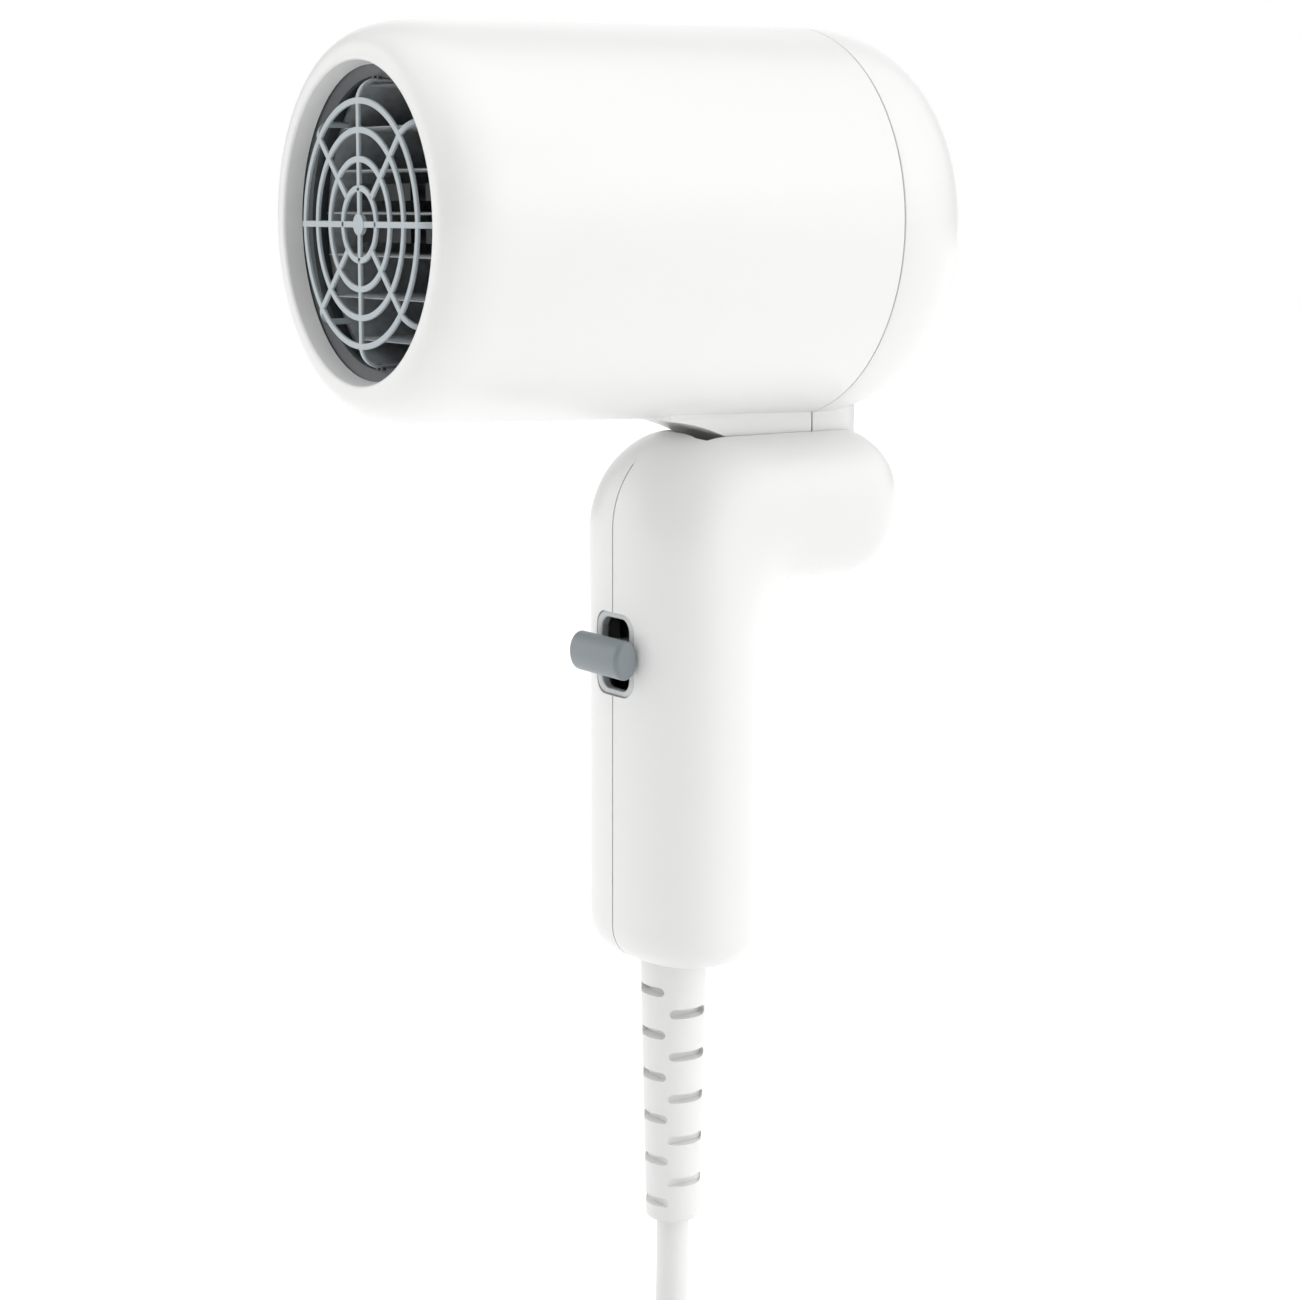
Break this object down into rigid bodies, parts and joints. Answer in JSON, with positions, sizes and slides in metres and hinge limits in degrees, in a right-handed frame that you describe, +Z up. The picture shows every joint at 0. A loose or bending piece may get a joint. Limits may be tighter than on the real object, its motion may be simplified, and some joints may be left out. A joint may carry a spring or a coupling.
{
  "type": "hair dryer",
  "caption": "Hair dryer: a wide round barrel with an outlet grille that folds down on a seven-shaped handle, with a slide switch, slotted strain relief, coiled cord and plug.",
  "frame": {"origin": "middle of the grip on the plane where the handle halves meet, where a hand holds the dryer", "axes": "+Z up along the grip, air leaves along -X, +Y across the handle, towards the side where the case screws go in"},
  "size_m": [0.1529, 0.0974, 0.3429],
  "materials": {
    "white_plastic": "satin gloss, off-white",
    "bezel_plastic": "fine matte, pale grey",
    "liner_plastic": "matte dark grey, heat-resistant",
    "grille_plastic": "satin, light blue-grey",
    "knob_plastic": "satin mid grey",
    "mica_board": "dull layered mica, dark",
    "heating_wire": "oxidised resistance strip",
    "steel": "plain plated steel",
    "brass": "plain sintered brass",
    "black_plastic": "matte black",
    "filter_mesh": "fine woven nylon",
    "cord_pvc": "soft satin white PVC"
  },
  "bodies": {
    "handle": {"case_screw_1": "steel", "case_screw_2": "steel", "clamp_screw_1": "steel", "clamp_screw_2": "steel", "cord": "cord_pvc", "cord_clamp": "black_plastic", "cord_coil": "cord_pvc", "cord_lead": "cord_pvc", "handle_far": "white_plastic", "handle_near": "white_plastic", "hinge_pin": "steel", "plug_blade_1": "steel", "plug_blade_2": "steel", "plug_body": "cord_pvc", "strain_relief": "cord_pvc", "switch_bezel": "bezel_plastic", "switch_body": "black_plastic", "terminal_block": "black_plastic"},
    "barrel": {"front_housing": "white_plastic", "heater_boards": "mica_board", "heater_coil_lower_far": "heating_wire", "heater_coil_lower_near": "heating_wire", "heater_coil_upper_far": "heating_wire", "heater_coil_upper_near": "heating_wire", "heater_sleeve": "mica_board", "inlet_filter": "filter_mesh", "inlet_grille": "white_plastic", "motor_can": "steel", "motor_mount": "black_plastic", "outlet_grille": "grille_plastic", "outlet_liner": "liner_plastic", "rear_cover": "white_plastic", "shaft_bush": "brass", "thermal_fuse": "steel", "thermostat": "steel"},
    "fan": {"impeller": "black_plastic", "motor_shaft": "steel"},
    "knob": {"switch_knob": "knob_plastic"}
  },
  "joints": [
    {"name": "barrel_fold", "type": "hinge", "parent": "handle", "child": "barrel", "pos_m": [0.0341, 0, 0.0416], "axis": [0, 1, 0], "range_deg": [0, 90]},
    {"name": "fan_spin", "type": "hinge", "parent": "barrel", "child": "fan", "pos_m": [0.025, 0, 0.098], "axis": [1, 0, 0], "continuous": true},
    {"name": "switch_slide", "type": "slide", "parent": "handle", "child": "knob", "axis": [0, 0, 1], "range_m": [-0.0035, 0.0035]}
  ]
}
